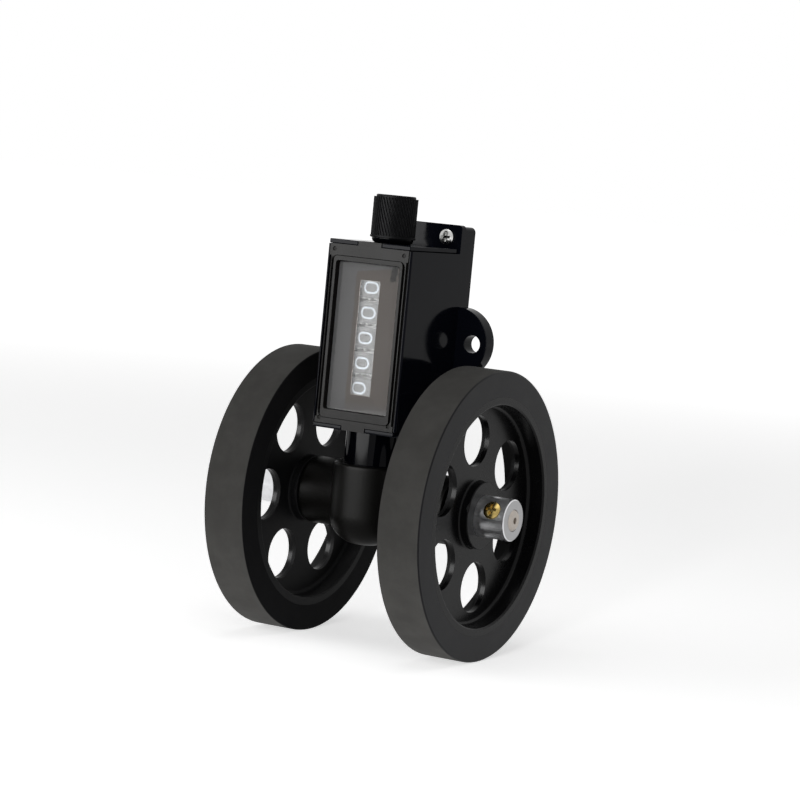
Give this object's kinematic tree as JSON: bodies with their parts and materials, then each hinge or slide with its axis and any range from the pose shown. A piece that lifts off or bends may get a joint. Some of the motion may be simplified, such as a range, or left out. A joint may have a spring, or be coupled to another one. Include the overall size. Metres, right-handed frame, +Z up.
{
  "type": "cable length counter",
  "caption": "Cable length counter: two rubber-tyred wheels on one axle drive an upright row of number drums, with a knurled reset knob and a plate with bolt ears behind.",
  "frame": {"origin": "midway between the two mounting holes, on the back faces of the ears", "axes": "+X towards the right-hand wheel, +Y out of the back of the plate, +Z up towards the reset knob"},
  "size_m": [0.1082, 0.1062, 0.1649],
  "materials": {
    "housing_black": "satin",
    "neck_black": "gloss",
    "case_black": "gloss",
    "bezel_black": "semi-gloss",
    "clear_window": "clear",
    "dial_grey": "satin",
    "wheel_plastic": "satin",
    "tyre_rubber": "matt",
    "shaft_steel": "ground",
    "sleeve_steel": "turned and plated",
    "zinc_steel": "zinc plated",
    "screw_steel": "bright plated",
    "screw_brass": "bright",
    "bearing_brass": "turned",
    "gear_brass": "cut",
    "white_nylon": "satin",
    "drum_grey": "satin",
    "knob_black": "satin"
  },
  "bodies": {
    "counter_frame": {"gear_case": "housing_black", "axle_bush_left": "bearing_brass", "axle_bush_right": "bearing_brass", "foot_bush": "bearing_brass", "neck_tube": "neck_black", "neck_bush_lower": "bearing_brass", "neck_bush_upper": "bearing_brass", "neck_nut": "zinc_steel", "case_body": "case_black", "case_bottom_cap": "case_black", "case_top_cap": "case_black", "front_bezel": "bezel_black", "window_frame": "bezel_black", "window_lens": "clear_window", "dial_mask": "dial_grey", "drum_chassis": "zinc_steel", "pinion_shaft": "shaft_steel", "pinion_spacers": "zinc_steel", "knob_bush": "knob_black", "mounting_plate": "case_black", "plate_screws": "screw_steel"},
    "wheel_set": {"axle": "shaft_steel", "axle_gear": "gear_brass", "axle_gear_pin": "shaft_steel", "wheel_left": "wheel_plastic", "wheel_right": "wheel_plastic", "tyre_left": "tyre_rubber", "tyre_right": "tyre_rubber", "hub_sleeve_left": "sleeve_steel", "hub_sleeve_right": "sleeve_steel", "clamp_screw_left": "screw_brass", "clamp_screw_right": "screw_brass", "thrust_washer_left": "white_nylon", "thrust_washer_right": "white_nylon"},
    "drive_train": {"drive_shaft": "shaft_steel", "shaft_gear": "white_nylon", "shaft_gear_pin": "shaft_steel", "drive_dog": "zinc_steel", "drum_1": "drum_grey"},
    "second_drum": {"drum_2": "drum_grey"},
    "third_drum": {"drum_3": "drum_grey"},
    "fourth_drum": {"drum_4": "drum_grey"},
    "fifth_drum": {"drum_5": "drum_grey"},
    "first_pinion": {"carry_pinion_1": "white_nylon"},
    "second_pinion": {"carry_pinion_2": "white_nylon"},
    "third_pinion": {"carry_pinion_3": "white_nylon"},
    "fourth_pinion": {"carry_pinion_4": "white_nylon"},
    "reset_group": {"reset_shaft": "shaft_steel", "reset_clip": "zinc_steel", "reset_knob": "knob_black"}
  },
  "joints": [
    {"name": "wheels_spin", "type": "hinge", "parent": "counter_frame", "child": "wheel_set", "pos_m": [0, -0.0162, -0.0604], "axis": [1, 0, 0], "continuous": true},
    {"name": "drive_spin", "type": "hinge", "parent": "counter_frame", "child": "drive_train", "pos_m": [0, -0.029, -0.0604], "axis": [0, 0, 1], "continuous": true},
    {"name": "second_drum_spin", "type": "hinge", "parent": "counter_frame", "child": "second_drum", "pos_m": [0, -0.029, -0.00945], "axis": [0, 0, 1], "continuous": true},
    {"name": "third_drum_spin", "type": "hinge", "parent": "counter_frame", "child": "third_drum", "pos_m": [0, -0.029, -0.00035], "axis": [0, 0, 1], "continuous": true},
    {"name": "fourth_drum_spin", "type": "hinge", "parent": "counter_frame", "child": "fourth_drum", "pos_m": [0, -0.029, 0.00875], "axis": [0, 0, 1], "continuous": true},
    {"name": "fifth_drum_spin", "type": "hinge", "parent": "counter_frame", "child": "fifth_drum", "pos_m": [0, -0.029, 0.01785], "axis": [0, 0, 1], "continuous": true},
    {"name": "first_pinion_spin", "type": "hinge", "parent": "counter_frame", "child": "first_pinion", "pos_m": [0, -0.01492, -0.014], "axis": [0, 0, 1], "continuous": true},
    {"name": "second_pinion_spin", "type": "hinge", "parent": "counter_frame", "child": "second_pinion", "pos_m": [0, -0.01492, -0.0049], "axis": [0, 0, 1], "continuous": true},
    {"name": "third_pinion_spin", "type": "hinge", "parent": "counter_frame", "child": "third_pinion", "pos_m": [0, -0.01492, 0.0042], "axis": [0, 0, 1], "continuous": true},
    {"name": "fourth_pinion_spin", "type": "hinge", "parent": "counter_frame", "child": "fourth_pinion", "pos_m": [0, -0.01492, 0.0133], "axis": [0, 0, 1], "continuous": true},
    {"name": "reset_knob_turn", "type": "hinge", "parent": "counter_frame", "child": "reset_group", "pos_m": [0, -0.029, 0.04], "axis": [0, 0, 1], "continuous": true}
  ],
  "couplings": [
    {"joint": "drive_spin", "follows": "wheels_spin", "ratio": 0.33333},
    {"joint": "second_drum_spin", "follows": "wheels_spin", "ratio": 0.033333},
    {"joint": "third_drum_spin", "follows": "wheels_spin", "ratio": 0.0033333},
    {"joint": "fourth_drum_spin", "follows": "wheels_spin", "ratio": 0.00033333},
    {"joint": "fifth_drum_spin", "follows": "wheels_spin", "ratio": 0.000033333},
    {"joint": "first_pinion_spin", "follows": "wheels_spin", "ratio": -0.083333},
    {"joint": "second_pinion_spin", "follows": "wheels_spin", "ratio": -0.0083333},
    {"joint": "third_pinion_spin", "follows": "wheels_spin", "ratio": -0.00083333},
    {"joint": "fourth_pinion_spin", "follows": "wheels_spin", "ratio": -0.000083333}
  ]
}
